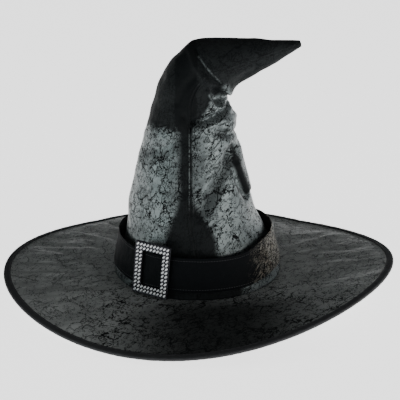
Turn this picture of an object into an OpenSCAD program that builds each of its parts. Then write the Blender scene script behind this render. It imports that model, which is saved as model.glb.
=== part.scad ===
// Bent-tip witch hat of crackled faux leather, with a loose belt band and a slide buckle.
// Millimetres. +Z up, +X to the side that the tip flops to, -Y to the front of the hat.
// The origin is the centre of the head opening, where the crown is sewn to the brim.

/* [Head opening] */
// Inside radius of the head opening (91 is a 57 cm hat)
head_r = 91; // [88:0.5:94]
// Height of the sweatband above the brim seam
sweatband_h = 26; // [20:1:32]

/* [Cloth] */
// Thickness of the faux leather outer
leather_t = 1.2; // [1:0.1:1.4]
// Thickness of the lining
lining_t = 0.5; // [0.4:0.1:0.6]
// Thickness of the crown stiffener
stiffener_t = 1.0; // [0.8:0.1:1.2]

/* [Crown] */
// Sideways lean of the crown above the band
crown_lean = -7; // [-8:1:0]
// Height at which the crown starts to bend over
bend_z = 205; // [200:1:208]

/* [Tip] */
// Lean of the tip's centre line from upright
tip_tilt = 74.5; // [70:0.5:80]
// Radius of the tip where the bend ends
tip_root_r = 31.5; // [30:0.5:33]
// Radius of the blunt turned end of the tip
tip_end_r = 3.5; // [3:0.5:5]
// Length of the tip beyond the bend
tip_len = 88; // [70:1:92]

/* [Brim] */
// Half width of the brim from side to side
brim_rx = 222; // [205:1:235]
// Half width of the brim from front to back
brim_ry = 218; // [205:1:235]
// Sideways offset of the brim's outline
brim_shift = 1; // [-2:1:3]
// Mean height of the brim's edge
edge_mean = -3; // [-6:1:-1]
// Rise of the edge at the front right, which falls as far at the back left
edge_tilt = 12.5; // [8:0.5:14]
// Rise of the edge at both sides, which falls as far at front and back
edge_wave = 12.5; // [8:0.5:14]
// A third, smaller ripple of the edge
edge_ripple = 3.5; // [0:0.5:5]
// Lowest height of the edge's middle line, where the brim lies flat on a table
edge_floor = -15.5; // [-17:0.5:-14]
// Width of the edge binding
binding_w = 8; // [7:0.5:10]
// Diameter of the brim wire
wire_d = 1.4; // [1.2:0.1:1.5]

/* [Band and buckle] */
// Width of the band
band_w = 39; // [36:1:40]
// Thickness of the band
band_t = 1.4; // [1.2:0.1:1.5]
// Turn of the buckle from the front, to the wearer's right
buckle_turn = 32; // [0:1:60]
// Distance between the buckle's stones
stone_pitch = 4.3; // [4.2:0.05:4.4]

/* [Hidden] */

leather = [0.16, 0.17, 0.18];
cloth = [0.05, 0.05, 0.06];
thread = [0.09, 0.09, 0.1];
silver = [0.8, 0.8, 0.82];
crystal = [0.93, 0.95, 0.97];

gap = 0.1;              // between two layers of cloth
opening_t = 0.9;        // sweatband thickness
// The crown wall's layers, as depths below its outer face.
stiffener_in = leather_t + gap;
lining_in = stiffener_in + stiffener_t + gap;
crown_foot_r = head_r + opening_t + gap + lining_t + lining_in;

// ---- Crown and tip: rings of a leaning cone that fan over round a pinch, then run out straight ----

// Radius against height, on a hat whose foot has a radius of 95.
crown_outline = [
    [0, 95], [2, 94], [5, 92.4], [9, 90.9], [28, 85.5], [46, 79.5], [63, 73.8], [106, 65], [134, 58.3],
    [162, 51], [190, 43.6], [208, 39.5]
];
function crown_r(z) = lookup(z, crown_outline) * crown_foot_r / 95;
function crown_x(z) = crown_lean * (1 - cos(180 * max(0, min(1, (z - 28) / 60)))) / 2;

pinch_gap = 3.5;          // between the rings' near points and the pinch that they fan round
pinch = [crown_x(bend_z) + crown_r(bend_z) + pinch_gap, bend_z];

// The rings follow one path, u: millimetres of height below the bend, then degrees of lean in it, then
// millimetres of length beyond it. A ring is [centre x, centre z, lean, radius].
// Above the fold the cloth stands out in a slight corner.
function corner(t) = 1.1 * max(0, 1 - abs(t - 55) / 17);
function bend_r(t) = crown_r(bend_z) + (tip_root_r - crown_r(bend_z)) * t / tip_tilt + corner(t);
function bend_ring(t) = [
    pinch.x - (bend_r(t) + pinch_gap) * cos(t), pinch.y + (bend_r(t) + pinch_gap) * sin(t), t, bend_r(t)
];
function tip_ring(d) = let (root = bend_ring(tip_tilt)) [
    root[0] + d * sin(tip_tilt), root[1] + d * cos(tip_tilt), tip_tilt,
    tip_root_r + (tip_end_r - tip_root_r) * d / tip_len
];
function ring(u) =
    u <= 0 ? [crown_x(bend_z + u), bend_z + u, 0, crown_r(bend_z + u)] :
    u <= tip_tilt ? bend_ring(u) : tip_ring(u - tip_tilt);

// The point of the ring at u that is at angle a and at a depth below the outer face.
function wall_point(u, a, depth) =
    let (g = ring(u), r = g[3] - depth)
    [g[0] + r * cos(a) * cos(g[2]), r * sin(a), g[1] - r * cos(a) * sin(g[2])];

// The crown and the tip part along a ball round the fold's axis, so the tip turns clear of the crown.
fold_axis = [bend_ring(tip_tilt / 2)[0] - 1, 0, bend_ring(tip_tilt / 2)[1] - 2];
ball_r = 43;
ball_gap = 0.4;
function parting(a, depth, r, lo = -45, hi = 60, turns = 18) =
    let (mid = (lo + hi) / 2)
    turns == 0 ? mid :
    norm(wall_point(mid, a, depth) - fold_axis) > r ? parting(a, depth, r, mid, hi, turns - 1) :
    parting(a, depth, r, lo, mid, turns - 1);

// Places along the path, from the foot to the parting, and from the parting to the tip's end.
straight_steps = [for (z = [0, 2, 5, 9, 28, 46, 63, 85, 106, 134, 150]) z - bend_z];
inner_steps = [for (u = straight_steps) if (u >= 9 - bend_z) u];     // the inner layers start above the foot
parting_steps = 5;
function crown_path(a, depth, start = straight_steps) =
    let (last = start[len(start) - 1], end = parting(a, depth, ball_r + ball_gap))
    concat(start, [for (i = [1:parting_steps]) last + (end - last) * i / parting_steps]);
bend_steps = 6;
function tip_path(a, depth, end) = let (start = parting(a, depth, ball_r))
    concat(
        [for (i = [0:bend_steps]) start + (tip_tilt - start) * i / bend_steps],
        [tip_tilt + end / 2, tip_tilt + end]
    );

// A closed slice of a wall at angle a: along its outer face and back along its inner one.
function wall_slice(a, outer, inner, depth, t) = concat(
    [for (u = outer) wall_point(u, a, depth)],
    [for (i = [len(inner) - 1:-1:0]) wall_point(inner[i], a, depth + t)]
);

// ---- Solids swept through slices ----

function quad(a, b, c, d) = [[a, b, c], [a, c, d]];
// Both faces of a wall are split along the same diagonals, so nested walls stay parallel.
function sweep_faces(m, k, closed) = [
    for (i = [0:closed ? m - 1 : m - 2], j = [0:k - 1])
        let (n = (i + 1) % m, q = (j + 1) % k, a = i * k + j, b = n * k + j, c = n * k + q, d = i * k + q)
        each j < k / 2 ? quad(a, b, c, d) : quad(b, c, d, a)
];
// An end is closed by a strip between a slice's halves. Two walls that meet share the strip's diagonals.
function end_faces(first, k, flip) = [
    for (j = [0:k / 2 - 2])
        let (a = first + j, b = first + j + 1, c = first + k - 2 - j, d = first + k - 1 - j)
        each flip ? quad(a, d, c, b) : quad(a, b, c, d)
];
module swept(slices, closed) {
    m = len(slices);
    k = len(slices[0]);
    faces = concat(
        sweep_faces(m, k, closed),
        closed ? [] : concat(end_faces(0, k, false), end_faces((m - 1) * k, k, true))
    );
    polyhedron([for (s = slices) each s], faces, convexity = 8);
}

half_steps = 18;        // slices across half of the crown
function crown_slice(a, depth, t, start = straight_steps) =
    wall_slice(a, crown_path(a, depth, start), crown_path(a, depth + t, start), depth, t);
module crown_half(middle) {
    swept([for (i = [0:half_steps]) crown_slice(middle - 90 + 180 * i / half_steps, 0, leather_t)], false);
}
module crown_panel_left() { color(leather) crown_half(180); }
module crown_panel_right() { color(leather) crown_half(0); }
module crown_lining() {
    color(cloth) swept([
        for (i = [0:2 * half_steps - 1]) crown_slice(180 * i / half_steps, lining_in, lining_t, inner_steps)
    ], true);
}

// The stiffener ends below the bend, so the cloth above it is free to flop.
module crown_stiffener() {
    color(cloth) swept([
        for (i = [0:2 * half_steps - 1])
            wall_slice(180 * i / half_steps, inner_steps, inner_steps, stiffener_in, stiffener_t)
    ], true);
}

// A seam is a low flat ridge that lies on the wall, up its front or its back.
seam_w = 1.8;
seam_h = 0.5;
function seam_slice(u, side) =
    let (w = asin(seam_w / 2 / ring(u)[3]), a = 90 * side)
    [wall_point(u, a - w, -0.05), wall_point(u, a + w, -0.05),
     wall_point(u, a + w, -0.05 - seam_h), wall_point(u, a - w, -0.05 - seam_h)];
module seam(path, side) { swept([for (u = path) seam_slice(u, side)], false); }
seam_path = [for (i = [1:parting_steps + len(straight_steps) - 1]) crown_path(90, 0)[i]];
module crown_front_seam() { color(thread) seam(seam_path, -1); }
module crown_back_seam() { color(thread) seam(seam_path, 1); }

// ---- Sweatband: a round foot in the opening, then a cone against the lining ----

brim_layers = [0.8, 1.0, 0.8];   // top cover, stiffener, under cover
brim_gap = 0.05;
crown_clear = 0.3;       // between the crown's foot and the brim's top
brim_bottom = -crown_clear - brim_layers[0] - brim_layers[1] - brim_layers[2] - 2 * brim_gap;
opening_top = 2;         // height of the sweatband's straight foot
sweatband_gap = 0.75;    // between the sweatband and the lining
module sweatband() {
    cone = [for (z = [8, sweatband_h]) [crown_r(z) - lining_in - lining_t - sweatband_gap, z]];
    foot = head_r + opening_t;
    color(cloth) rotate_extrude($fn = 120)
        polygon([
            [head_r, brim_bottom], [foot, brim_bottom], [foot, opening_top],
            cone[0], cone[1],
            cone[1] - [opening_t, 0], cone[0] - [opening_t, 0], [head_r, opening_top]
        ]);
}
module sweatband_stitching() {
    r = crown_r(sweatband_h - 3) - lining_in - lining_t - sweatband_gap - opening_t - 0.35;
    color(thread) translate([0, 0, sweatband_h - 3]) rotate_extrude($fn = 120)
        translate([r, 0]) circle(0.25, $fn = 24);
}

// ---- Brim: layers between a round opening and a waved edge ----

brim_steps = 60;
brim_rows = [0, 0.12, 0.3, 0.5, 0.75, 0.94, 1];
brim_curve = 1.5;       // above 1, the brim leaves the crown flatter than it ends
layer_r = head_r + opening_t + gap;
cover_inset = 3.2;      // from the binding's outer edge to the covers' raw edges

function edge_z(a) = max(
    edge_floor,
    edge_mean + edge_tilt * cos(a + 52) + edge_wave * cos(2 * (a + 14)) + edge_ripple * cos(3 * (a + 36))
);
function edge_point(a, inset) = [brim_shift + (brim_rx - inset) * cos(a), (brim_ry - inset) * sin(a)];
// A point on the brim's middle sheet, where s runs from the opening to the wire.
function brim_point(a, s, inset, up) =
    let (flat = edge_point(a, inset) * s + [cos(a), sin(a)] * layer_r * (1 - s))
    [flat.x, flat.y, (brim_bottom - crown_clear) / 2 * (1 - s) + edge_z(a) * pow(s, brim_curve) + up];
function brim_slice(a, low, high) = concat(
    [for (s = brim_rows) brim_point(a, s, cover_inset, high)],
    [for (i = [len(brim_rows) - 1:-1:0]) brim_point(a, brim_rows[i], cover_inset, low)]
);
module brim_layer(low, high) {
    swept([for (i = [0:brim_steps - 1]) brim_slice(360 * i / brim_steps, low, high)], true);
}
stiffener_half = brim_layers[1] / 2;
module brim_top_cover() {
    color(leather) brim_layer(stiffener_half + brim_gap, stiffener_half + brim_gap + brim_layers[0]);
}
module brim_stiffener() { color(cloth) brim_layer(-stiffener_half, stiffener_half); }
module brim_under_cover() {
    color(cloth) brim_layer(-stiffener_half - brim_gap - brim_layers[2], -stiffener_half - brim_gap);
}

// The edge: a tape folded round the covers and the wire.
binding_t = 0.55;
fold_half = stiffener_half + brim_gap + brim_layers[0] + 0.3;  // half the inside height of the fold
wire_inset = 1.85;
function binding_profile() = let (o = fold_half + binding_t, i = fold_half) concat(
    [[-binding_w, o]], [for (t = [75:-30:-75]) [-o + o * cos(t), o * sin(t)]], [[-binding_w, -o]],
    [[-binding_w, -i]], [for (t = [-75:30:75]) [-o + i * cos(t), i * sin(t)]], [[-binding_w, i]]
);
// Height of the brim's middle sheet at a distance in from the edge.
function sheet_z(a, d) = brim_point(a, 1 - max(0, d - cover_inset) / (brim_rx - layer_r), cover_inset, 0).z;
function edge_frame(a, p) = let (e = edge_point(a, -p.x)) [e.x, e.y, sheet_z(a, -p.x) + p.y];
module edge_sweep(profile) {
    swept([for (i = [0:brim_steps - 1]) [for (p = profile) edge_frame(360 * i / brim_steps, p)]], true);
}
module brim_binding() { color(leather * 0.6) edge_sweep(binding_profile()); }
function round_profile(x, y, r, n) =
    [for (i = [0:n - 1]) [x + r * cos(-360 * i / n), y + r * sin(-360 * i / n)]];
module brim_wire() { color(silver) edge_sweep(round_profile(-wire_inset, 0, wire_d / 2, 8)); }
// A tube over the wire's two ends, at the back.
joiner_at = 90;
joiner_len = 8;
module wire_joiner() {
    ends = [for (a = [joiner_at, joiner_at + 360 / brim_steps]) edge_frame(a, [-wire_inset, 0])];
    along = ends[1] - ends[0];
    color(silver) translate((ends[0] + ends[1]) / 2) rotate([0, 90, atan2(along.y, along.x)]) difference() {
        cylinder(h = joiner_len, r = wire_d / 2 + 0.5, center = true, $fn = 32);
        cylinder(h = joiner_len + 1, r = wire_d / 2 + 0.25, center = true, $fn = 32);
    }
}
module binding_stitching() {
    color(thread) edge_sweep(round_profile(1.6 - binding_w, fold_half + binding_t + 0.3, 0.25, 6));
}
// The row of stitches round the opening, under the brim, that holds the crown, sweatband and brim together.
module opening_stitching() {
    color(thread) translate([0, 0, brim_bottom - 0.3]) rotate_extrude($fn = 120)
        translate([head_r + opening_t / 2, 0]) circle(0.22, $fn = 24);
}

// ---- Tip: the rest of the bend, and the cone that ends in a small turned-in end ----

// The last ring closes on the axis but for a pinhole.
pinhole = 0.25;
function tip_slice(a, depth, t, end) =
    let (g = ring(tip_tilt + end), out = [g[0], 0, g[1]] + 0.8 * [sin(tip_tilt), 0, cos(tip_tilt)])
    concat(
        [for (u = tip_path(a, depth, end)) wall_point(u, a, depth)],
        [for (back = [0, 1.5]) out - back * [sin(tip_tilt), 0, cos(tip_tilt)]
            + pinhole * [cos(a) * cos(tip_tilt), sin(a), -cos(a) * sin(tip_tilt)]],
        let (inner = tip_path(a, depth + t, end - 2))
        [for (i = [len(inner) - 1:-1:0]) wall_point(inner[i], a, depth + t)]
    );
module tip_half(middle) {
    swept([
        for (i = [0:half_steps]) tip_slice(middle - 90 + 180 * i / half_steps, 0, leather_t, tip_len)
    ], false);
}
module tip_panel_left() { color(leather) tip_half(180); }
module tip_panel_right() { color(leather) tip_half(0); }
tip_lining_len = 70;
module tip_lining() {
    color(cloth) swept([
        for (i = [0:2 * half_steps - 1])
            let (a = 180 * i / half_steps)
            wall_slice(a, tip_path(a, lining_in, tip_lining_len),
                tip_path(a, lining_in + lining_t, tip_lining_len), lining_in, lining_t)
    ], true);
}
tip_seam_path = [for (i = [0:bend_steps + 2]) tip_path(90, -0.05 - seam_h, tip_len - 4)[i]];
module tip_front_seam() { color(thread) seam(tip_seam_path, -1); }
module tip_back_seam() { color(thread) seam(tip_seam_path, 1); }

// ---- Band: a loose conical belt that stands off the crown ----

band_z = 8.5;           // height of the band's lower edge
band_foot_r = crown_foot_r - 1.3;   // inside radius at the lower edge
band_slope = 0.16;      // how far it narrows per millimetre of height
backing_t = 0.4;
band_top = band_z + band_w * cos(atan(band_slope));
function band_r(z) = band_foot_r - (z - band_z) * band_slope;
module belt(z0, z1, depth, t) {
    rotate_extrude($fn = 120)
        polygon([
            for (p = [[z0, depth], [z0, depth + t], [z1, depth + t], [z1, depth]]) [band_r(p[0]) + p[1], p[0]]
        ]);
}
module hatband_backing() { color(cloth) belt(band_z + 1, band_top - 1, 0, backing_t); }
module hatband_strap() { color(leather) belt(band_z, band_top, backing_t + 0.05, band_t - backing_t - 0.05); }
lap_angle = 16;         // how far the strap's ends lap at the back
module hatband_lap() {
    low = band_z + 0.5;
    high = band_top - 0.5;
    color(leather) rotate([0, 0, 90 - lap_angle / 2]) rotate_extrude(angle = lap_angle, $fn = 120)
        polygon([
            for (p = [[low, 0.08], [low, 0.9], [high, 0.9], [high, 0.08]])
            [band_r(p[0]) + band_t + p[1], p[0]]
        ]);
}
stitch_inset = 3;       // from the strap's edges to its rows of stitches
// The row stops at the lap, which covers the strap there.
module band_thread(z) {
    free = 360 - lap_angle - 2;
    color(thread) rotate([0, 0, 91 + lap_angle / 2]) rotate_extrude(angle = free, $fn = 120)
        translate([band_r(z) + band_t + 0.28, z]) circle(0.22, $fn = 24);
}
module hatband_upper_stitching() { band_thread(band_top - stitch_inset); }
module hatband_lower_stitching() { band_thread(band_z + stitch_inset); }

// ---- Buckle: a flat frame set with stones, on a bar that passes behind the strap ----

columns = 10;
rows = 13;
rim = 1.3;              // from the outer stones' cells to the frame's edge
frame_w = columns * stone_pitch + 2 * rim;
frame_h = rows * stone_pitch + 2 * rim;
window_w = (columns - 4) * stone_pitch - 0.4;
window_h = (rows - 4) * stone_pitch - 0.4;
frame_t = 2;
frame_lift = 1.2;       // between the strap's middle line and the frame's back
buckle_z = (band_z + band_top) / 2 + 1.9;     // the frame rides a little high, clear of the brim
// Across the buckle is Y, up the strap is Z, and out from it is X.
module on_band() {
    rotate([0, 0, -90 - buckle_turn]) translate([band_r(buckle_z) + band_t, 0, buckle_z])
        rotate([0, -atan(band_slope), 0]) children();
}
module buckle_frame() {
    color(silver) on_band() translate([frame_lift, 0, 0]) rotate([90, 0, 90]) linear_extrude(frame_t)
        difference() {
            square([frame_w, frame_h], center = true);
            square([window_w, window_h], center = true);
        }
}
bar_w = 5;
bar_t = 0.8;
bar_clear = 0.45;       // between the bar and the strap's backing
module buckle_bar() {
    half = window_h / 2 + 3.4;
    back = -band_t - bar_clear - bar_t;
    color(silver) on_band() rotate([90, 0, 0]) linear_extrude(bar_w, center = true)
        polygon([
            [frame_lift, -half], [back, -half], [back, half], [frame_lift, half],
            [frame_lift, half - bar_t], [back + bar_t, half - bar_t],
            [back + bar_t, bar_t - half], [frame_lift, bar_t - half]
        ]);
}
// Two rings of slanted oval stones go round the window, each stone in its own cup.
stone_long = 2.25;      // half lengths of an oval
stone_short = 1.25;
cup_rim = 0.15;         // from a stone's edge to its cup's
function in_frame(c, r) = c < 2 || c >= columns - 2 || r < 2 || r >= rows - 2;
places = [
    for (c = [0:columns - 1], r = [0:rows - 1]) if (in_frame(c, r))
        [c - (columns - 1) / 2, r - (rows - 1) / 2] * stone_pitch
];
module oval(out, h, foot, top) {
    translate([out, 0, 0]) scale([1, stone_long, stone_short]) rotate([0, 90, 0])
        cylinder(h = h, r1 = foot, r2 = top, $fn = 16);
}
module in_places() {
    on_band() for (p = places) translate([frame_lift + frame_t, p.x, p.y]) rotate([45, 0, 0]) children();
}
cup_h = 0.4;
module buckle_stones() {
    color(crystal) in_places() oval(cup_h + 0.02, 1.3, 1, 0.5);
}
module buckle_stone_cups() {
    color(silver) in_places() oval(0.01, cup_h, 1 + cup_rim / stone_short, 1 + cup_rim / stone_short - 0.05);
}

crown_panel_left();
crown_panel_right();
crown_stiffener();
crown_lining();
crown_front_seam();
crown_back_seam();
sweatband();
sweatband_stitching();
brim_top_cover();
brim_stiffener();
brim_under_cover();
brim_wire();
wire_joiner();
brim_binding();
binding_stitching();
opening_stitching();
tip_panel_left();
tip_panel_right();
tip_lining();
tip_front_seam();
tip_back_seam();
hatband_strap();
hatband_backing();
hatband_lap();
hatband_upper_stitching();
hatband_lower_stitching();
buckle_frame();
buckle_bar();
buckle_stones();
buckle_stone_cups();
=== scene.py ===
"""Bent-tip witch hat of crackled faux leather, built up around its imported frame."""

import math

import bmesh
import bpy
from mathutils import Matrix, Vector, noise


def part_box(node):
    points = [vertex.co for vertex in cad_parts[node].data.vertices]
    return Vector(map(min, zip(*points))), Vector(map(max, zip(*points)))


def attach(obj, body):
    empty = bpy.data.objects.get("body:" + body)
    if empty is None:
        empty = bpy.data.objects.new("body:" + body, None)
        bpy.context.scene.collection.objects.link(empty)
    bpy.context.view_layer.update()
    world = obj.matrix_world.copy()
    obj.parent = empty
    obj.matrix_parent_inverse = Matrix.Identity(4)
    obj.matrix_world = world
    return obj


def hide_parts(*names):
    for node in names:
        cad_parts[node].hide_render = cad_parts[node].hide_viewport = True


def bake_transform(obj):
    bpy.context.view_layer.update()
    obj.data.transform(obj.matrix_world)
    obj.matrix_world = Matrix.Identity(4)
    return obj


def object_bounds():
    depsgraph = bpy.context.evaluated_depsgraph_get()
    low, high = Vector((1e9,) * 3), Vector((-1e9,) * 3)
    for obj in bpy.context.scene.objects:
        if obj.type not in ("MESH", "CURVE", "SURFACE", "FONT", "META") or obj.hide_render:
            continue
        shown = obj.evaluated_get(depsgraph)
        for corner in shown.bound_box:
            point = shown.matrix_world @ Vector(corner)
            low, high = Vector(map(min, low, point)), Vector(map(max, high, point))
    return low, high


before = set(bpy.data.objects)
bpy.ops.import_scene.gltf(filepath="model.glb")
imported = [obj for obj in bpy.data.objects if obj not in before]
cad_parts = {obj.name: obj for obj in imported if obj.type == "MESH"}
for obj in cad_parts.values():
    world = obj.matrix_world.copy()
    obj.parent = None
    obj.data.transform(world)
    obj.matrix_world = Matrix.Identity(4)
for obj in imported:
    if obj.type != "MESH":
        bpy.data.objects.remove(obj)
cad_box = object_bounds()
mm = 0.001


# ---- The table and the light ----
# A glowing white table, a dim room that is bright only low down at the right, and a long lens that looks
# down on the brim.
camera_tilt = 20.8
camera_roll = -0.12

camera = bpy.data.objects.new("camera", bpy.data.cameras.new("camera"))
bpy.context.scene.collection.objects.link(camera)
bpy.context.scene.camera = camera
camera.data.lens = 125
camera.location = (0, -1.467, 0.638)
camera.rotation_euler = (math.radians(90 - camera_tilt), 0, math.radians(camera_roll))


def smooth(low, high, x):
    """0 below low, 1 above high, and a soft step between them."""
    t = max(0.0, min(1.0, (x - low) / (high - low)))
    return t * t * (3 - 2 * t)


class Value:
    """A number at every point of a surface. Python's operators on it add their Math nodes."""

    def __init__(self, finish, socket):
        self.finish = finish
        self.socket = socket

    def maths(self, operation, *values):
        return self.finish.node("ShaderNodeMath", {"operation": operation}, dict(enumerate(values)))

    def __add__(self, other):
        return self.maths("ADD", self, other)

    def __sub__(self, other):
        return self.maths("SUBTRACT", self, other)

    def __rsub__(self, other):
        return self.maths("SUBTRACT", other, self)

    def __mul__(self, other):
        return self.maths("MULTIPLY", self, other)

    def __pow__(self, other):
        return self.maths("POWER", self, other)

    def __abs__(self):
        return self.maths("ABSOLUTE", self)

    def step(self, low, high):
        """0 where this is below low, 1 where it is above high, and a soft step between them."""
        return self.finish.node(
            "ShaderNodeMapRange",
            {"interpolation_type": "SMOOTHSTEP"},
            {0: self, 1: min(low, high), 2: max(low, high), 3: float(low > high), 4: float(low < high)},
        )

    __radd__ = __add__
    __rmul__ = __mul__


class Finish:
    """The nodes of one material, or of the room's light."""

    def __init__(self, name, world=None):
        self.material = world or bpy.data.materials.new(name)
        self.material.use_nodes = True
        self.tree = self.material.node_tree
        self.tree.nodes.clear()

    def node(self, kind, settings=None, inputs=None, output=0):
        made = self.tree.nodes.new(kind)
        for setting, value in (settings or {}).items():
            setattr(made, setting, value)
        for key, value in (inputs or {}).items():
            if isinstance(value, Value):
                self.tree.links.new(value.socket, made.inputs[key])
            else:
                made.inputs[key].default_value = value
        return Value(self, made.outputs[output])

    def place(self):
        return self.node("ShaderNodeTexCoord", output="Object")

    def parts(self, vector):
        """The x, y and z of a vector."""
        axes = self.tree.nodes.new("ShaderNodeSeparateXYZ")
        self.tree.links.new(vector.socket, axes.inputs[0])
        return [Value(self, socket) for socket in axes.outputs]

    def noise(self, where, scale, detail=3, roughness=0.55):
        inputs = {"Vector": where, "Scale": scale, "Detail": detail, "Roughness": roughness}
        return self.node("ShaderNodeTexNoise", None, inputs)

    def mix(self, factor, low, high):
        """The colour low where factor is 0, and high where it is 1."""
        return self.node("ShaderNodeMix", {"data_type": "RGBA"}, {0: factor, 6: low, 7: high}, 2)

    def bump(self, height, distance, strength):
        inputs = {"Height": height, "Distance": distance, "Strength": strength}
        return self.node("ShaderNodeBump", None, inputs)

    def surface(self, **sockets):
        inputs = {name.replace("_", " "): value for name, value in sockets.items()}
        shader = self.node("ShaderNodeBsdfPrincipled", None, inputs, "BSDF")
        out = self.tree.nodes.new("ShaderNodeOutputMaterial")
        self.tree.links.new(shader.socket, out.inputs["Surface"])
        return self.material


world = bpy.context.scene.world or bpy.data.worlds.new("room")
bpy.context.scene.world = world
room = Finish("room", world)
side, _, height = room.parts(room.node("ShaderNodeTexCoord", output="Generated"))
low_walls = height.step(0.30, 0.12) * abs(side).step(0.22, 0.5)
brightness = 0.05 + low_walls * (side.step(-0.4, 0.4) * 1.3)
glow = room.node("ShaderNodeBackground", None, {"Color": (0.93, 0.97, 1.0, 1), "Strength": brightness})
sky = room.tree.nodes.new("ShaderNodeOutputWorld")
room.tree.links.new(glow.socket, sky.inputs["Surface"])

bpy.ops.mesh.primitive_plane_add(size=12, location=(0, 0, cad_box[0][2]))
table = bpy.context.object
table.name = "table"
paper = Finish("pale_paper")
table.data.materials.append(
    paper.surface(
        Base_Color=(0.9, 0.9, 0.9, 1), Roughness=0.9, Emission_Color=(1, 1, 1, 1), Emission_Strength=2.0
    )
)


def lamp(name, place, aim, size, power, colour=(1, 1, 1)):
    """A soft box at place that shines at aim."""
    light = bpy.data.objects.new(name, bpy.data.lights.new(name, "AREA"))
    light.data.shape = "RECTANGLE"
    light.data.size, light.data.size_y = size
    light.data.energy = power
    light.data.color = colour
    light.location = place
    light.rotation_euler = (Vector(aim) - Vector(place)).to_track_quat("-Z", "Y").to_euler()
    bpy.context.scene.collection.objects.link(light)


lamp("overhead_box", (0, 0.3, 2.4), (0, 0, 0), (3.2, 3.2), 14)
lamp("left_box", (-1.5, -0.9, 0.3), (-0.05, 0, 0.1), (1.3, 0.5), 7, (0.88, 1.0, 1.0))
lamp("right_box", (1.45, -0.95, 0.3), (0.05, 0, 0.1), (1.3, 0.5), 10, (1.0, 0.98, 0.95))


# ---- Crown and tip cloth ----
# Two panels of crackled faux leather, sewn front and back to a tall cone. The cone leans, folds over to one
# side and gathers in a pinch under the fold. The cloth is one piece from foot to tip, so it bends where the
# tip turns.

crown_outline = [
    (0, 95), (2, 94), (5, 92.4), (9, 90.9), (28, 85.5), (46, 79.5), (63, 73.8), (85, 69), (106, 65),
    (134, 58.3), (162, 51), (190, 43.6), (208, 39.5),
]
foot_share = 94.9 / 95
bend_z = 205
tip_tilt = 74.5
tip_root_r = 31.5
tip_end_r = 3.5
tip_len = 88
crown_lean = -7
pinch_gap = 3.5
# The fold's outer corner stands proud by this much at this lean, and fades out this many degrees either
# side.
corner_rise, corner_lean, corner_half = 1.1, 55, 17


def through(outline, x):
    """The value at x on a smooth line through the outline's points."""
    last = len(outline) - 2
    i = max(0, min(last, sum(x > p[0] for p in outline) - 1))
    (x0, y0), (x1, y1) = outline[i], outline[i + 1]
    before, after = outline[max(0, i - 1)], outline[min(last + 1, i + 2)]
    slope0 = (y1 - before[1]) / (x1 - before[0])
    slope1 = (after[1] - y0) / (after[0] - x0)
    t, w = (x - x0) / (x1 - x0), x1 - x0
    return (
        (2 * t**3 - 3 * t**2 + 1) * y0 + (t**3 - 2 * t**2 + t) * w * slope0
        + (3 * t**2 - 2 * t**3) * y1 + (t**3 - t**2) * w * slope1
    )


def crown_r(z):
    return through(crown_outline, z) * foot_share


def crown_x(z):
    return crown_lean * (1 - math.cos(math.pi * max(0, min(1, (z - 28) / 60)))) / 2


pinch_x = crown_x(bend_z) + crown_r(bend_z) + pinch_gap


def ring(u):
    """A ring of the cloth: its centre's x and z, its lean in radians and its radius, in millimetres. u is
    height below the bend as a negative number, then degrees of lean round the pinch, then length along the
    tip."""
    if u <= 0:
        return crown_x(bend_z + u), bend_z + u, 0.0, crown_r(bend_z + u)
    turned = min(u, tip_tilt)
    lean = math.radians(turned)
    r = crown_r(bend_z) + (tip_root_r - crown_r(bend_z)) * turned / tip_tilt
    r += corner_rise * max(0, 1 - abs(turned - corner_lean) / corner_half)
    x = pinch_x - (r + pinch_gap) * math.cos(lean)
    z = bend_z + (r + pinch_gap) * math.sin(lean)
    beyond = max(0, u - tip_tilt)
    r += (tip_end_r - tip_root_r) * beyond / tip_len
    return x + beyond * math.sin(lean), z + beyond * math.cos(lean), lean, r


def plain_crown_point(u, a, depth=0):
    """The point a degrees round the ring at u, depth inside it, in millimetres, and the way out from
    there."""
    x, z, lean, r = ring(u)
    c, s = math.cos(math.radians(a)), math.sin(math.radians(a))
    out = Vector((c * math.cos(lean), s, -c * math.sin(lean)))
    return Vector((x, 0, z)) + out * (r - depth), out


# Folds pressed in the cloth: their line in side view, how deep (or, below nothing, how proud) and how wide.
front_folds = [
    ([(-2, 260), (2, 252), (6, 243), (14, 233), (24, 224)], 3.4, 2.2),
    ([(-8, 258), (-3, 246), (4, 235), (13, 225)], -1.6, 3.2),
    ([(20, 214), (24, 206)], 9.0, 5.5),
    ([(12, 218), (15, 207), (20, 201), (29, 197)], -3.2, 2.2),
    ([(-6, 186), (8, 187), (19, 190), (29, 193), (38, 197)], 5.0, 2.6),
    ([(-2, 180), (12, 181), (26, 185), (44, 182)], -3.0, 4.0),
    ([(46, 165), (34, 168), (24, 173)], 4.0, 3.4),
    ([(46, 156), (36, 158)], -2.2, 4.6),
    ([(41, 152), (33, 140), (27, 128), (16, 109), (5, 94)], 4.5, 8.0),
    ([(37, 146), (42, 128), (48, 112), (56, 94)], 6.0, 3.0),
    ([(46, 132), (53, 112), (59, 97)], -2.4, 2.6),
    ([(-8, 178), (-14, 192)], 2.6, 2.4),
    ([(-7, 178), (3, 192)], 2.6, 2.4),
    ([(-60, 150), (-34, 158), (-12, 170)], 2.4, 8.0),
    ([(-22, 206), (-14, 222), (-2, 236)], 2.0, 4.0),
]
back_folds = [
    ([(36, 205), (20, 212), (6, 222)], 4.6, 3.4),
    ([(40, 192), (24, 187), (4, 185)], 3.8, 3.0),
    ([(42, 182), (28, 178)], -2.6, 5.0),
    ([(46, 165), (34, 168), (24, 173)], 3.4, 4.0),
    ([(41, 156), (28, 142), (12, 124), (-2, 104)], 4.0, 6.5),
    ([(46, 136), (52, 112), (57, 92)], 4.0, 3.6),
    ([(-4, 258), (2, 246), (12, 234)], 2.6, 2.4),
    ([(-52, 172), (-36, 150), (-30, 128)], 2.4, 8.0),
]
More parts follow.
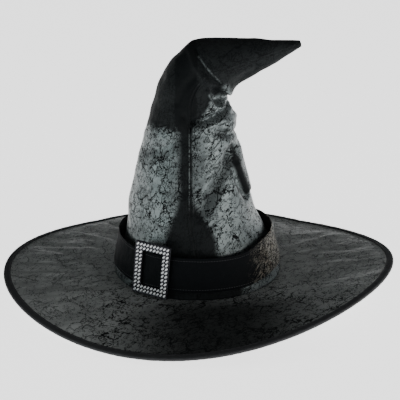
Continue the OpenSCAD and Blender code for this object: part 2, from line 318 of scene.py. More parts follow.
# The gathers under the pinch, and the corner that the fold makes above it, run right round the cloth.
gathers = [
    ([(34, 213), (39, 205)], -4.0, 4.0),
    ([(30, 198), (42, 199)], 1.8, 2.2),
    ([(38, 192), (44, 186)], -4.0, 5.0),
    ([(37, 177), (41, 168)], -4.0, 6.0),
    ([(64, 235), (46, 223)], 3.6, 9.0),
    ([(-46, 232), (-32, 256)], 3.4, 13.0),
    ([(-12, 273), (-4, 277)], -4.5, 8.0),
]


def line_distance(x, z, line):
    """How far a point in side view is from a line of points."""
    nearest = 1e9
    for (x0, z0), (x1, z1) in zip(line, line[1:]):
        dx, dz = x1 - x0, z1 - z0
        t = max(0, min(1, ((x - x0) * dx + (z - z0) * dz) / (dx * dx + dz * dz)))
        nearest = min(nearest, math.hypot(x - x0 - t * dx, z - z0 - t * dz))
    return nearest


def folded_in(p):
    """How far the cloth is pressed in at a point of the plain crown, in millimetres."""
    total = 0
    front, back = smooth(5, -5, p.y), smooth(-5, 5, p.y)
    for folds, share in ((front_folds, front), (back_folds, back), (gathers, 1)):
        if share > 0:
            for line, deep, wide in folds:
                d = line_distance(p.x, p.z, line)
                if d < 3 * wide:
                    total += share * deep * math.exp(-((d / wide) ** 2))
    return total


def crumple(p, size, seed):
    """Smooth bumps about size millimetres across, from -1 to 1."""
    return noise.noise(Vector((p.x, p.y, p.z)) / size + Vector((seed, 2 * seed, 3 * seed)))


def crown_point(u, a, depth=0):
    """A point of the draped cloth, depth millimetres under its outer face, in metres."""
    p, out = plain_crown_point(u, a, depth)
    above_band = smooth(46, 70, p.z)
    soft = above_band * smooth(tip_tilt + tip_len, tip_tilt + tip_len * 0.6, u)
    wave = 2.2 * crumple(p, 48, 4) + 1.0 * crumple(p, 20, 7) + 0.35 * crumple(p, 9, 2)
    return (p - out * (folded_in(p) * above_band - wave * soft)) * mm


def grid_mesh(name, rows, closed_round=False, caps=False):
    """A skin through rows of points, each row as long as the next. closed_round joins each row's end to its
    start, and caps closes the first and last rows."""
    n = len(rows[0])
    points = [p for row in rows for p in row]
    last = n if closed_round else n - 1
    faces = [
        (i * n + j, i * n + (j + 1) % n, (i + 1) * n + (j + 1) % n, (i + 1) * n + j)
        for i in range(len(rows) - 1)
        for j in range(last)
    ]
    if caps:
        faces += [tuple(range(n - 1, -1, -1)), tuple(range(len(points) - n, len(points)))]
    mesh = bpy.data.meshes.new(name)
    mesh.from_pydata(points, [], faces)
    mesh.polygons.foreach_set("use_smooth", [True] * len(faces))
    piece = bpy.data.objects.new(name, mesh)
    bpy.context.scene.collection.objects.link(piece)
    return piece


def thicken(piece, thickness):
    """Gives a skin its thickness, inwards from its outer face."""
    solid = piece.modifiers.new("thickness", "SOLIDIFY")
    solid.thickness = thickness * mm
    solid.offset = -1
    return piece


def steps(first, last, count):
    """Evenly spaced values from first to last, count gaps apart."""
    return [first + (last - first) * i / count for i in range(count + 1)]


tip_u = tip_tilt + tip_len
crown_path = steps(-bend_z, 0, 120)[:-1] + steps(0, tip_tilt, 56)[:-1] + steps(tip_tilt, tip_u, 44)


def on_line(x, z, start, end, wide):
    """1 on a straight line in side view, and 0 further from it than wide. x and z are in metres, and the
    line and wide are in millimetres."""
    (x0, z0), (x1, z1) = start, end
    run, rise = x1 - x0, z1 - z0
    across, up = x * 1000 - x0, z * 1000 - z0
    along = (across * run + up * rise) * (1 / (run * run + rise * rise))
    along = along.maths("MINIMUM", along.maths("MAXIMUM", along, 0.0), 1.0)
    left, over = across - along * run, up - along * rise
    return ((left * left + over * over) ** 0.5).step(wide, 0)


def crackled_leather(name, film, base, cell, gloss, painted_shading, cracked=1.0, flaked=0.0, brown=None):
    """Black faux leather under a thin pewter film that crushing has cracked, fully where cracked is 1. cell
    is the cracks' spacing in millimetres, and flaked is how much film has come off in small flakes.
    painted_shading makes, from the place's x, y and z and a ragged distance, how much of the film is painted
    black as painted shade. brown makes, from x, how much of the film is tinted brown as a painted glint."""
    f = Finish(name)
    here = f.place()
    x, y, z = f.parts(here)
    drift = f.noise(here, 90, 4)
    centred = f.node("ShaderNodeVectorMath", {"operation": "SCALE"}, {0: drift, "Scale": 0.024})
    where = f.node("ShaderNodeVectorMath", {"operation": "ADD"}, {0: here, 1: centred})
    cracks = 0
    for size, width in ((cell * 1.9, 0.05), (cell, 0.06), (cell * 0.45, 0.09)):
        inputs = {"Vector": where, "Scale": 1000 / size}
        edge = f.node("ShaderNodeTexVoronoi", {"feature": "DISTANCE_TO_EDGE"}, inputs)
        broken = f.noise(here, 600 / size, 3, 0.6).step(0.45, 0.53)
        cracks = cracks + edge.step(width, 0) * broken
    worn = f.noise(where, 160, 5, 0.7).step(0.58, 0.70)
    patches = f.noise(here, 28, 3).step(0.35, 0.7)
    dark = (cracks.step(0.1, 0.7) + worn * (0.3 + 0.6 * patches)).step(0.05, 1.0) * cracked
    ragged = f.noise(here, 110, 5, 0.65) * 0.02 - 0.01
    flakes = f.noise(where, 420, 4, 0.7).step(0.42, 0.58) * flaked
    # The caller's mask added here paints shade: it turns the film to the black base, and leaves painted
    # highlights where it is lower.
    dark = (dark + flakes + painted_shading(x, y, z, ragged)).step(0.0, 1.0)
    tone = f.mix(patches, (*[c * 0.8 for c in film], 1), (*film, 1))
    if brown:
        # A brown tint in speckles on the film, a painted glint.
        brown_glint = f.noise(here, 60, 3).step(0.45, 0.62) * brown(x)
        tone = f.mix(brown_glint, tone, (0.20, 0.14, 0.08, 1))
    colour = f.mix(dark, tone, (*base, 1))
    crush = f.noise(where, 260, 6, 0.65)
    height = crush * 0.6 - dark * 0.5 + f.noise(here, 70, 2) * 1.2
    return f.surface(
        Base_Color=colour,
        Metallic=0.72 - dark * 0.72,
        Roughness=gloss + dark * 0.2 + crush * 0.08,
        Specular_IOR_Level=0.06,
        Normal=f.bump(height, 0.0009, 0.9),
    )


def crown_painted_shading(x, y, z, ragged):
    """Painted shade and dark reflections. The tip and upper crown are painted dark as a painted dark
    reflection, except for painted highlights along their creases at the front. A strip along the seam, wider
    towards the foot, is painted dark in the same way, except for painted highlights on its two welts at the
    front. The deep folds at the front are painted dark as painted shade.
    """
    edge = x.step(-0.012, 0.004) * 0.010 + x.step(0.0, 0.018) * 0.022
    tip = (z + ragged - edge).step(0.171, 0.182)
    low = z.step(0.11, 0.055)
    half_strip = 0.006 + low * 0.020 + z.step(0.05, 0.02) * 0.03
    strip = (abs(x + 0.012 - low * 0.005 + ragged * 0.4) - half_strip).step(0.007, -0.003)
    # Painted highlights along the seam's two welts.
    welt_highlight = abs(x + 0.0042).step(0.0011, 0.0003) + abs(x + 0.0086).step(0.0010, 0.0003)
    welt_highlight = welt_highlight * z.step(0.085, 0.11)
    # Painted shade in the deep folds at the front.
    wedge_shade = on_line(x, z, (43, 136), (56, 97), 7.5) * 1.15 + on_line(x, z, (37, 154), (43, 136), 4) * 0.8
    valley_shade = on_line(x, z, (33, 136), (12, 102), 14) * 0.55
    # Painted highlights along the fold's creases and round the pocket's rim.
    crease_highlight = on_line(x, z, (31, 220), (37, 202), 7) * 0.6 + on_line(x, z, (13, 214), (20, 202), 2.4) * 0.5
    crease_highlight = crease_highlight + on_line(x, z, (1, 254), (26, 226), 1.8) * 0.42
    front = y.step(0.002, -0.006)
    return tip * (0.86 - crease_highlight * front) + strip * (0.88 - welt_highlight * front * 0.5) + (wedge_shade + valley_shade) * front


crown_leather = crackled_leather(
    "crown_leather", (0.155, 0.177, 0.177), (0.005, 0.006, 0.0065), 8, 0.33, crown_painted_shading
)


def path_length(path, a):
    """How far it is along the plain cloth at a degrees round it, in metres."""
    line = [plain_crown_point(u, a)[0] for u in path]
    return sum((q - p).length for p, q in zip(line, line[1:])) * mm


# Each panel is cut as half of a cone's skin: half the foot's girth wide, and as long as the bend's outer
# side.
cut_width = math.pi * crown_r(0) * mm
cut_length = path_length(crown_path, 180)
leather_t = 1.0
# Beside each seam the cloth rolls in over seam_roll, down to seam_tuck, in millimetres.
seam_roll, seam_tuck = 2.6, 0.9


def seam_height(u):
    """How far the seam stands out, as a share. It is pressed flatter over the bend and along the tip."""
    return 1 - 0.7 * smooth(-20, tip_tilt, u)


for side_name, middle in (("left", 180), ("right", 0)):
    rows = []
    for u in crown_path:
        r = ring(u)[3]
        row = []
        for a in steps(middle - 90, middle + 90, 96):
            from_seam = (90 - abs(a - middle)) * math.pi / 180 * r
            tuck = seam_tuck * (1 - smooth(0, seam_roll, from_seam)) * smooth(0, 12, r) * seam_height(u)
            row.append(crown_point(u, a, tuck))
        rows.append(row)
    end = crown_point(tip_u + 0.8, 0).lerp(crown_point(tip_u + 0.8, 180), 0.5)
    rows.append([end.lerp(p, 0.08) for p in rows[-1]])
    panel = thicken(grid_mesh(f"crown_cloth_{side_name}", rows), leather_t)
    panel.data.materials.append(crown_leather)
    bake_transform(panel)
    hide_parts(f"crown_panel_{side_name}", f"tip_panel_{side_name}")
    cut_width * cut_length / 2


def cloth_finish(name, colour, thread, roughness=0.85):
    """Plain cloth with slubs in its colour and a fine grain. thread is the grain's size in millimetres."""
    f = Finish(name)
    here = f.place()
    grain = f.noise(here, 900, 2)
    slubs = f.noise(here, 140, 3)
    shade = f.mix(slubs.step(0.3, 0.7), (*[c * 0.75 for c in colour], 1), (*colour, 1))
    height = grain + f.noise(here, 1000 / thread, 1)
    return f.surface(Base_Color=shade, Roughness=roughness, Normal=f.bump(height, 0.0002, 0.6))


# The lining follows the panels inside, and a non-woven stiffener between them ends below the bend.
lining_cloth = cloth_finish("lining_cloth", (0.022, 0.022, 0.025), 0.5)
stiffener_cloth = cloth_finish("stiffener_cloth", (0.10, 0.10, 0.10), 1.2, 0.95)
# All in millimetres: both begin above the foot, the stiffener ends at a height, and the lining short of the
# tip.
inner_foot, stiffener_top, lining_tip_len = 9, 150, 70
stiffener_depth, lining_depth = 1.3, 2.5
inner_path = [u for u in crown_path if u >= inner_foot - bend_z]


def crown_sleeve(name, path, depth, thickness, material):
    """A closed sleeve inside the panels, depth under their outer face."""
    rows = [[crown_point(u, a, depth) for a in steps(0, 360, 120)[:-1]] for u in path]
    sleeve = thicken(grid_mesh(name, rows, closed_round=True), thickness)
    sleeve.data.materials.append(material)
    return sleeve


stiffener_path = [u for u in inner_path if u <= stiffener_top - bend_z][::3]
stiffener = crown_sleeve("crown_stiffening", stiffener_path, stiffener_depth, 0.9, stiffener_cloth)
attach(stiffener, "crown")
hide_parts("crown_stiffener")
foot_girth = 2 * math.pi * (crown_r(inner_foot) - stiffener_depth) * mm
path_length(stiffener_path, 180)

lining_path = [u for u in inner_path if u <= tip_tilt + lining_tip_len][::2]
lining = crown_sleeve("hat_lining", lining_path, lining_depth, 0.4, lining_cloth)
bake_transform(lining)
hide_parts("crown_lining", "tip_lining")
path_length(lining_path, 180)


# ---- Seams of the crown ----
# The panels' edges are turned in and sewn, and the allowances under the cloth raise two low welts at each
# seam. Each place is how far across the seam and how high, in millimetres.
welt_profile = [
    (-2.9, -0.2), (-2.1, 0.5), (-1.3, 0.35), (-0.5, -0.7), (0.5, -0.7), (1.3, 0.35), (2.1, 0.5), (2.9, -0.2),
]
seam_path = [u for u in crown_path if 2 - bend_z < u < tip_u - 4]
for seam_name, middle in (("front", -90), ("back", 90)):
    rows = []
    for u in seam_path:
        r, share = ring(u)[3], seam_height(u)
        rows.append(
            [crown_point(u, middle + math.degrees(across / r), -up * share) for across, up in welt_profile]
        )
    seam = thicken(grid_mesh(f"{seam_name}_seam", rows), 0.5)
    seam.data.materials.append(crown_leather)
    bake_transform(seam)
    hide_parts(f"crown_{seam_name}_seam", f"tip_{seam_name}_seam")


# ---- Brim ----
# A stiffener between two covers of the same leather, cut as one wide ring. It waves up at both sides and
# down at the front and back, crinkles outwards from the crown, and puckers where its edge is sewn.
brim_rx, brim_ry, brim_shift = 222, 218, 1
opening_r = 92
cover_inset = 3.2
edge_floor = -15.5


def edge_height(a):
    """How high the brim's edge is, in millimetres."""
    return max(
        edge_floor,
        -3
        + 12.5 * math.cos(math.radians(a + 52))
        + 12.5 * math.cos(math.radians(2 * (a + 14)))
        + 3.5 * math.cos(math.radians(3 * (a + 36))),
    )


def brim_point(a, s, up, inset=cover_inset):
    """A point of the brim, in metres. s runs from the opening to the edge, and up is from its middle
    sheet."""
    c, d = math.cos(math.radians(a)), math.sin(math.radians(a))
    x = (brim_shift + (brim_rx - inset) * c) * s + c * opening_r * (1 - s)
    y = (brim_ry - inset) * d * s + d * opening_r * (1 - s)
    z = -1.65 * (1 - s) + edge_height(a) * s**1.5
    free = smooth(0.12, 0.35, s) * smooth(1.0, 0.8, s)
    ray = Vector((c * 3.2, d * 3.2, s * 1.1))
    z += free * (2.6 * noise.noise(ray) + 1.5 * noise.noise(ray * 3.1))
    z += free * 0.6 * noise.noise(Vector((c * 22, d * 22, s * 4)))
    pucker = smooth(0.86, 0.95, s) * smooth(1.0, 0.96, s)
    z += pucker * 0.45 * noise.noise(Vector((c * 75, d * 75, s * 2)))
    return Vector((x, y, z + up)) * mm


brim_leather = crackled_leather(
    "brim_leather", (0.43, 0.45, 0.44), (0.006, 0.007, 0.007), 10, 0.38,
    # The front of the brim, most in its middle, has its film turned black: painted shade.
    lambda x, y, z, ragged: abs(x - 0.02).step(0.19, 0.02) * y.step(-0.03, -0.13) * 0.85,
    cracked=0.62,
)
out_steps = steps(0, 0.84, 44)[:-1] + steps(0.84, 1, 20)
brim_turns = steps(0, 360, 720)[:-1]


def brim_layer(name, up, thickness, turns, out, material):
    """One layer of the brim. Its faces look up where thickness is above nothing, and down where it is
    below."""
    rows = [[brim_point(a, s, up) for a in turns] for s in out]
    if thickness > 0:
        rows.reverse()
    layer = grid_mesh(name, rows, closed_round=True)
    thicken(layer, abs(thickness))
    layer.data.materials.append(material)
    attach(layer, "crown")
    return layer


top_cover = brim_layer("brim_top", 1.35, 0.8, brim_turns, out_steps, brim_leather)
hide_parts("brim_top_cover")
under_cover = brim_layer("brim_underside", -1.35, -0.8, brim_turns[::2], out_steps[::2], brim_leather)
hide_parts("brim_under_cover")
brim_core = brim_layer("brim_core", 0.5, 1.0, brim_turns[::6], out_steps[::4], stiffener_cloth)
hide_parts("brim_stiffener")


# ---- Brim binding and wire ----
# A woven tape folded over the covers and a springy wire, whose ends meet in a small steel tube at the back.
# One row of stitches holds the tape, and draws it into small puckers.
fold_half, tape_t, tape_w, tape_row = 1.65, 0.55, 8, -6.4


def tape_profile(outer):
    """The tape's outer or inner face, across and up in millimetres, dented where its stitches pull."""
    half = fold_half + (tape_t if outer else 0)
    nose = [(-fold_half - tape_t + half * math.cos(t), half * math.sin(t)) for t in steps(1.5, -1.5, 10)]
    upper = [(-tape_w, half), (tape_row, half - 0.12), (-4.2, half)]
    return [*upper, *nose, (-4.2, -half), (tape_row, -half), (-tape_w, -half)]


def edge_point(a, across, up):
    """A point of the binding, in metres. across is out from the brim's outline, up from its middle
    sheet."""
    inwards = max(0, -across - cover_inset) / (brim_rx - opening_r)
    p = brim_point(a, 1 - inwards, up, inset=-across)
    flat = brim_point(a, 1, up, inset=-across)
    return Vector((flat.x, flat.y, p.z))


def tape_point(a, across, up):
    """A point of the rippled tape, in metres."""
    c, d = math.cos(math.radians(a)), math.sin(math.radians(a))
    ripple = 0.16 * noise.noise(Vector((c * 60, d * 60, across * 0.2)))
    return edge_point(a, across, up * (1 + ripple))


rows = []
for across, up in tape_profile(True) + tape_profile(False)[::-1]:
    rows.append([tape_point(a, across, up) for a in brim_turns])
rows.append(rows[0])
binding = grid_mesh("brim_tape", rows, closed_round=True)
binding_tape = cloth_finish("binding_tape", (0.013, 0.014, 0.016), 0.45, 0.7)
binding.data.materials.append(binding_tape)


def close_doubles(piece):
    """Joins points that meet, and turns every face outwards."""
    shape = bmesh.new()
    shape.from_mesh(piece.data)
    bmesh.ops.remove_doubles(shape, verts=shape.verts, dist=0.00001)
    bmesh.ops.recalc_face_normals(shape, faces=shape.faces)
    shape.to_mesh(piece.data)
    shape.free()


close_doubles(binding)
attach(binding, "crown")
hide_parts("brim_binding")

wire_steel = Finish("wire_steel")
drawn = wire_steel.noise(wire_steel.place(), 800, 2)
wire_steel = wire_steel.surface(Base_Color=(0.56, 0.56, 0.57, 1), Metallic=1.0, Roughness=0.3 + drawn * 0.15)


def paint(node, material):
    """Gives a CAD node its material."""
    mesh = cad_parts[node].data
    mesh.materials.clear()
    mesh.materials.append(material)


paint("brim_wire", wire_steel)
paint("wire_joiner", wire_steel)


# ---- Stitches ----
# Rows of black thread, each stitch a small bar of thread sunk at both ends.
thread_black = Finish("thread")
twist = thread_black.noise(thread_black.place(), 2500, 1)
thread_black = thread_black.surface(
    Base_Color=thread_black.mix(twist, (0.012, 0.012, 0.014, 1), (0.05, 0.05, 0.055, 1)), Roughness=0.55
)


def stitch_tree():
    """Sets a stitch at every pitch along a line of edges."""
    tree = bpy.data.node_groups.new("stitches", "GeometryNodeTree")
    tree.is_modifier = True
    face = tree.interface
    face.new_socket("Line", in_out="INPUT", socket_type="NodeSocketGeometry")
    for size in ("Pitch", "Stitch length", "Thread radius"):
        face.new_socket(size, in_out="INPUT", socket_type="NodeSocketFloat")
    face.new_socket("Thread", in_out="INPUT", socket_type="NodeSocketMaterial")
    face.new_socket("Stitches", in_out="OUTPUT", socket_type="NodeSocketGeometry")
    make, join = tree.nodes.new, tree.links.new
    given, result = make("NodeGroupInput"), make("NodeGroupOutput")
    curve, spaced = make("GeometryNodeMeshToCurve"), make("GeometryNodeResampleCurve")
    spaced.mode = "LENGTH"
    tangent, turn = make("GeometryNodeInputTangent"), make("FunctionNodeAlignRotationToVector")
    turn.axis = "Z"
    ball, size = make("GeometryNodeMeshUVSphere"), make("ShaderNodeCombineXYZ")
    ball.inputs["Segments"].default_value = 6
    ball.inputs["Rings"].default_value = 5
    half = make("ShaderNodeMath")
    half.operation = "MULTIPLY"
    half.inputs[1].default_value = 0.5
    place, real = make("GeometryNodeInstanceOnPoints"), make("GeometryNodeRealizeInstances")
    finish = make("GeometryNodeSetMaterial")
    join(given.outputs["Line"], curve.inputs["Mesh"])
    join(curve.outputs["Curve"], spaced.inputs["Curve"])
    join(given.outputs["Pitch"], spaced.inputs["Length"])
    join(spaced.outputs["Curve"], place.inputs["Points"])
    join(ball.outputs["Mesh"], place.inputs["Instance"])
    join(tangent.outputs["Tangent"], turn.inputs["Vector"])
    join(turn.outputs["Rotation"], place.inputs["Rotation"])
    join(given.outputs["Stitch length"], half.inputs[0])
    join(given.outputs["Thread radius"], size.inputs["X"])
    join(given.outputs["Thread radius"], size.inputs["Y"])
    join(half.outputs[0], size.inputs["Z"])
    join(size.outputs[0], place.inputs["Scale"])
    join(place.outputs["Instances"], real.inputs["Geometry"])
    join(real.outputs["Geometry"], finish.inputs["Geometry"])
    join(given.outputs["Thread"], finish.inputs["Material"])
    join(finish.outputs["Geometry"], result.inputs["Stitches"])
    return tree


stitch_nodes = stitch_tree()
stitch_sizes = {
    "Pitch": 3.0 * mm, "Stitch length": 2.3 * mm, "Thread radius": 0.26 * mm, "Thread": thread_black,
}


def grown(name, start, tree, values):
    """The plain mesh that a tree makes of a starting object, with its named inputs set."""
    grower = start.modifiers.new("grower", "NODES")
    grower.node_group = tree
    for item in tree.interface.items_tree:
        if item.in_out == "INPUT" and item.name in values:
            grower[item.identifier] = values[item.name]
    seen = start.evaluated_get(bpy.context.evaluated_depsgraph_get())
    mesh = bpy.data.meshes.new_from_object(seen)
    mesh.name = name
    bpy.data.objects.remove(start)
    piece = bpy.data.objects.new(name, mesh)
    bpy.context.scene.collection.objects.link(piece)
    return piece


def stitch_row(name, points, closed, body, node):
    """A row of stitches along a line of points, whose end meets its start where it is closed."""
    mesh = bpy.data.meshes.new(name)
    edges = [(i, i + 1) for i in range(len(points) - 1)] + ([(len(points) - 1, 0)] if closed else [])
    mesh.from_pydata(points, edges, [])
    line = bpy.data.objects.new(name, mesh)
    bpy.context.scene.collection.objects.link(line)
    row = grown(name, line, stitch_nodes, stitch_sizes)
    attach(row, body)
    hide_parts(node)


tape_line = [tape_point(a, tape_row, fold_half + tape_t - 0.02) for a in brim_turns]
stitch_row("binding_stitches", tape_line, True, "crown", "binding_stitching")


def circle(r, z):
    """Points of a level circle, in metres, from its radius and height in millimetres."""
    return [Vector((r * math.cos(t), r * math.sin(t), z)) * mm for t in steps(0, 2 * math.pi, 180)[:-1]]


low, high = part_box("opening_stitching")
opening_line = circle(high.x / mm - 0.22, (low.z + high.z) / 2 / mm + 0.15)
stitch_row("opening_stitches", opening_line, True, "crown", "opening_stitching")


# ---- Sweatband ----
# A soft band round the opening, sewn to the lining above and to the brim seam below.
paint("sweatband", lining_cloth)
low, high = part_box("sweatband_stitching")
sweatband_line = circle(high.x / mm - 0.2, (low.z + high.z) / 2 / mm)
stitch_row("sweatband_stitches", sweatband_line, True, "crown", "sweatband_stitching")


# ---- Band ----
# A belt of the same leather, folded over a backing, with a row of stitches along each edge. It hangs loose
# on the crown, so its upper edge gapes and waves a little, and it rides up on the brim's rise at both
# sides. Its ends lap at the back.
band_z, band_w, band_t = 8.5, 39, 1.4
ride_left, ride_right = 1.6, 5.0
band_slope = 0.16
band_foot_r = 94.9 - 1.3
band_rise = band_w * math.cos(math.atan(band_slope))


def band_point(a, h, out):
    """A point of the band, in metres. h runs up it from 0 to 1, out is millimetres from its inner face."""
    c, d = math.cos(math.radians(a)), math.sin(math.radians(a))
    ride = ride_right * smooth(0.55, 0.95, c) + ride_left * smooth(0.55, 0.95, -c)
    z = band_z + h * band_rise + ride
    slack = 0.7 * noise.noise(Vector((c * 2.3, d * 2.3, h * 0.8 + 5)))
    slack += 0.25 * noise.noise(Vector((c * 9, d * 9, h * 2)))
    droop = 1.0 * noise.noise(Vector((c * 1.8, d * 1.8, 9))) * smooth(0.3, 1, h)
    lean_in = 4.5 * smooth(0.5, 1.0, c) * h
    r = band_foot_r - h * band_rise * band_slope + 0.15 + slack - lean_in + out
    return Vector((r * c, r * d, z + droop)) * mm


# Round the strap's section: the share of its height, and millimetres out. The dents are its two rows of
# stitches.
strap_profile = [
    (0.012, 0.5), (0, 0.95), (0.012, 1.45), (0.05, 1.62), (0.085, 1.42), (0.16, 1.5), (0.3, 1.42),
    (0.42, 1.58), (0.5, 1.45), (0.62, 1.55), (0.76, 1.42), (0.86, 1.5), (0.905, 1.36), (0.94, 1.62),
    (0.985, 1.5), (1, 0.95), (0.988, 0.5), (0.5, 0.48),
]
# The strap's film shows only at its right end, broken into flakes and tinted brown there, as painted glints.
# The rest of the strap is black.
strap_leather = crackled_leather(
    "strap_leather", (0.34, 0.32, 0.27), (0.003, 0.004, 0.005), 6, 0.36,
    lambda x, y, z, ragged: (x + ragged).step(0.085, 0.05) * 0.95,
    flaked=0.9,
    brown=lambda x: x.step(0.02, 0.06) * 0.5,
)
band_turns = steps(0, 360, 480)[:-1]
rows = [[band_point(a, h, out) for a in band_turns] for h, out in strap_profile]
rows.append(rows[0])
strap = grid_mesh("band_strap", rows, closed_round=True)
close_doubles(strap)
strap.data.materials.append(strap_leather)
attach(strap, "hatband")
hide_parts("hatband_strap")

backing_profile = [(0.04, 0.05), (0.04, 0.4), (0.96, 0.4), (0.96, 0.05)]
rows = [[band_point(a, h, out) for a in band_turns[::3]] for h, out in backing_profile]
rows.append(rows[0])
backing = grid_mesh("band_backing", rows, closed_round=True)
close_doubles(backing)
backing.data.materials.append(lining_cloth)
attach(backing, "hatband")
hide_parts("hatband_backing")

lap_half = 8
lap_turns = steps(90 - lap_half, 90 + lap_half, 24)
rows = [[band_point(a, h, out + 1.15) for h, out in strap_profile] for a in lap_turns]
lap = grid_mesh("band_lap", rows, closed_round=True, caps=True)
close_doubles(lap)
lap.data.materials.append(strap_leather)
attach(lap, "hatband")
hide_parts("hatband_lap")
row_turns = steps(90 + lap_half + 1, 90 - lap_half - 1 + 360, 400)
for level, h, out in (("upper", 0.905, 1.42), ("lower", 0.085, 1.46)):
    line = [band_point(a, h, out) for a in row_turns]
    stitch_row(f"band_{level}_stitches", line, False, "hatband", f"hatband_{level}_stitching")


# ---- Buckle ----
# A plated slider on the right of the wearer's front. A flat frame with rounded edges holds two rings of
# slanted oval cups, each with a foil-backed rhinestone. The strap runs over a bar that crosses the back of
# its window.
buckle_turn = 32
buckle_z = band_z + band_rise / 2 + 1.9
buckle_r = band_foot_r - (buckle_z - band_z) * band_slope + band_t
stone_pitch, columns, stone_rows, rim = 4.3, 10, 13, 1.3
frame_w = columns * stone_pitch + 2 * rim
frame_h = stone_rows * stone_pitch + 2 * rim
frame_side = 2 * stone_pitch + rim + 0.2
frame_t, frame_lift = 2.0, 1.2
# Turns a piece made flat, with Z out of its face, to its place on the strap.
on_band = (
    Matrix.Rotation(math.radians(-90 - buckle_turn), 4, "Z")
    @ Matrix.Translation(Vector((buckle_r, 0, buckle_z)) * mm)
    @ Matrix.Rotation(-math.atan(band_slope), 4, "Y")
    @ Matrix(((0, 0, 1, 0), (1, 0, 0, 0), (0, 1, 0, 0), (0, 0, 0, 1)))
)

# The plating's colour is near black, painted shade for the dark gaps between the stones.
buckle_metal = Finish("buckle_metal")
wear = buckle_metal.noise(buckle_metal.place(), 300, 4)
buckle_metal = buckle_metal.surface(
    Base_Color=buckle_metal.mix(wear, (0.008, 0.008, 0.01, 1), (0.04, 0.04, 0.045, 1)), Metallic=1.0,
    Roughness=0.18 + wear * 0.14,
)
# The stones are painted white, a painted sparkle in place of clear glass lit over its foil.
rhinestone = Finish("rhinestone")
sparkle_noise = rhinestone.noise(rhinestone.place(), 420, 2)
rhinestone = rhinestone.surface(
    Base_Color=rhinestone.mix(sparkle_noise.step(0.35, 0.65), (0.8, 0.82, 0.85, 1), (1.0, 1.0, 1.0, 1)),
    Metallic=0.0, Roughness=0.10, Coat_Weight=1.0, Coat_Roughness=0.03,
)

# Across one side of the frame: millimetres in from its outer edge, and out from its back.
w = frame_side
frame_profile = [
    (0.5, 0), (0.1, 0.2), (0, 0.6), (0, 1.5), (0.12, 1.85), (0.4, 2.0), (0.75, 1.9), (0.95, 1.66),
    (1.3, 1.6), (w - 1.0, 1.6), (w - 0.8, 1.66), (w - 0.65, 1.9), (w - 0.4, 2.0), (w - 0.12, 1.85),
    (w, 1.5), (w, 0.4), (w - 0.3, 0.1), (w - 0.8, 0),
]


def frame_point(quarter, turn, inset, out):
    """A point of the frame's corner in a quarter. Its outer edge is rounded and its window's is nearly
    square."""
    r = max(1.4 - inset, 0.2)
    signs = (1, 1, -1, -1)[quarter], (1, -1, -1, 1)[quarter]
    t = math.radians(turn if quarter % 2 else 90 - turn)
    x = frame_w / 2 - inset - r + r * math.cos(t)
    y = frame_h / 2 - inset - r + r * math.sin(t)
    return Vector((signs[0] * x, signs[1] * y, frame_lift + out)) * mm


rows = []
for inset, out in frame_profile:
    rows.append([frame_point(q, turn, inset, out) for q in range(4) for turn in steps(0, 90, 6)])
rows.append(rows[0])
buckle = grid_mesh("buckle_plate", rows, closed_round=True)
close_doubles(buckle)
buckle.data.transform(on_band)
buckle.data.materials.append(buckle_metal)
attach(buckle, "buckle")
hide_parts("buckle_frame")
paint("buckle_bar", buckle_metal)


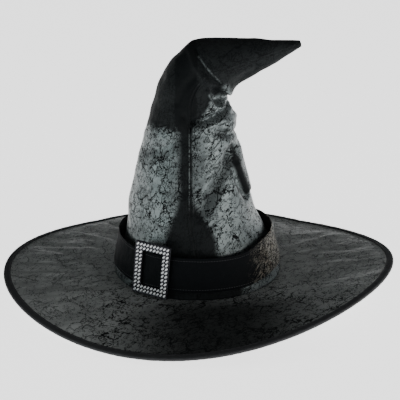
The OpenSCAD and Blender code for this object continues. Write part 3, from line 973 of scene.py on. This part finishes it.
def setting_tree():
    """Sets a slanted oval with sloping sides and a flat top at every point."""
    tree = bpy.data.node_groups.new("settings", "GeometryNodeTree")
    tree.is_modifier = True
    face = tree.interface
    face.new_socket("Places", in_out="INPUT", socket_type="NodeSocketGeometry")
    face.new_socket("Sides", in_out="INPUT", socket_type="NodeSocketInt")
    for size in ("Half length", "Half width", "Top share", "Height", "Slant"):
        face.new_socket(size, in_out="INPUT", socket_type="NodeSocketFloat")
    face.new_socket("Surface", in_out="INPUT", socket_type="NodeSocketMaterial")
    face.new_socket("Settings", in_out="OUTPUT", socket_type="NodeSocketGeometry")
    make, join = tree.nodes.new, tree.links.new
    given, result = make("NodeGroupInput"), make("NodeGroupOutput")
    cone = make("GeometryNodeMeshCone")
    turn, size = make("ShaderNodeCombineXYZ"), make("ShaderNodeCombineXYZ")
    cone.inputs["Radius Bottom"].default_value = 1
    size.inputs["Z"].default_value = 1
    place, real = make("GeometryNodeInstanceOnPoints"), make("GeometryNodeRealizeInstances")
    finish = make("GeometryNodeSetMaterial")
    join(given.outputs["Sides"], cone.inputs["Vertices"])
    join(given.outputs["Top share"], cone.inputs["Radius Top"])
    join(given.outputs["Height"], cone.inputs["Depth"])
    join(given.outputs["Half length"], size.inputs["X"])
    join(given.outputs["Half width"], size.inputs["Y"])
    join(given.outputs["Slant"], turn.inputs["Z"])
    join(turn.outputs[0], place.inputs["Rotation"])
    join(size.outputs[0], place.inputs["Scale"])
    join(given.outputs["Places"], place.inputs["Points"])
    join(cone.outputs["Mesh"], place.inputs["Instance"])
    join(place.outputs["Instances"], real.inputs["Geometry"])
    join(real.outputs["Geometry"], finish.inputs["Geometry"])
    join(given.outputs["Surface"], finish.inputs["Material"])
    join(finish.outputs["Geometry"], result.inputs["Settings"])
    return tree


setting_nodes = setting_tree()
stone_long, stone_short, cup_rim = 2.25, 1.25, 0.15
# The stones' middles, in two rings round the window.
rings = 2
places = [
    ((c - (columns - 1) / 2) * stone_pitch, (r - (stone_rows - 1) / 2) * stone_pitch)
    for c in range(columns)
    for r in range(stone_rows)
    if c < rings or c >= columns - rings or r < rings or r >= stone_rows - rings
]


def set_in_frame(name, out, values, node):
    """One mesh of a cone at every stone's place, standing out millimetres from the strap."""
    mesh = bpy.data.meshes.new(name)
    mesh.from_pydata([Vector((x, y, out)) * mm for x, y in places], [], [])
    points = bpy.data.objects.new(name, mesh)
    bpy.context.scene.collection.objects.link(points)
    piece = grown(name, points, setting_nodes, values)
    piece.data.transform(on_band)
    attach(piece, "buckle")
    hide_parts(node)


slant = math.pi / 4
cup_sizes = {
    "Sides": 16, "Half length": (stone_long + cup_rim * 1.6) * mm,
    "Half width": (stone_short + cup_rim) * mm, "Top share": 0.95, "Height": 0.75 * mm, "Slant": slant,
    "Surface": buckle_metal,
}
set_in_frame("stone_cups", frame_lift + frame_t - 0.38, cup_sizes, "buckle_stone_cups")
stone_sizes = {
    "Sides": 8, "Half length": stone_long * mm, "Half width": stone_short * mm,
    "Top share": 0.5, "Height": 1.3 * mm, "Slant": slant, "Surface": rhinestone,
}
set_in_frame("rhinestones", frame_lift + frame_t + 0.36, stone_sizes, "buckle_stones")
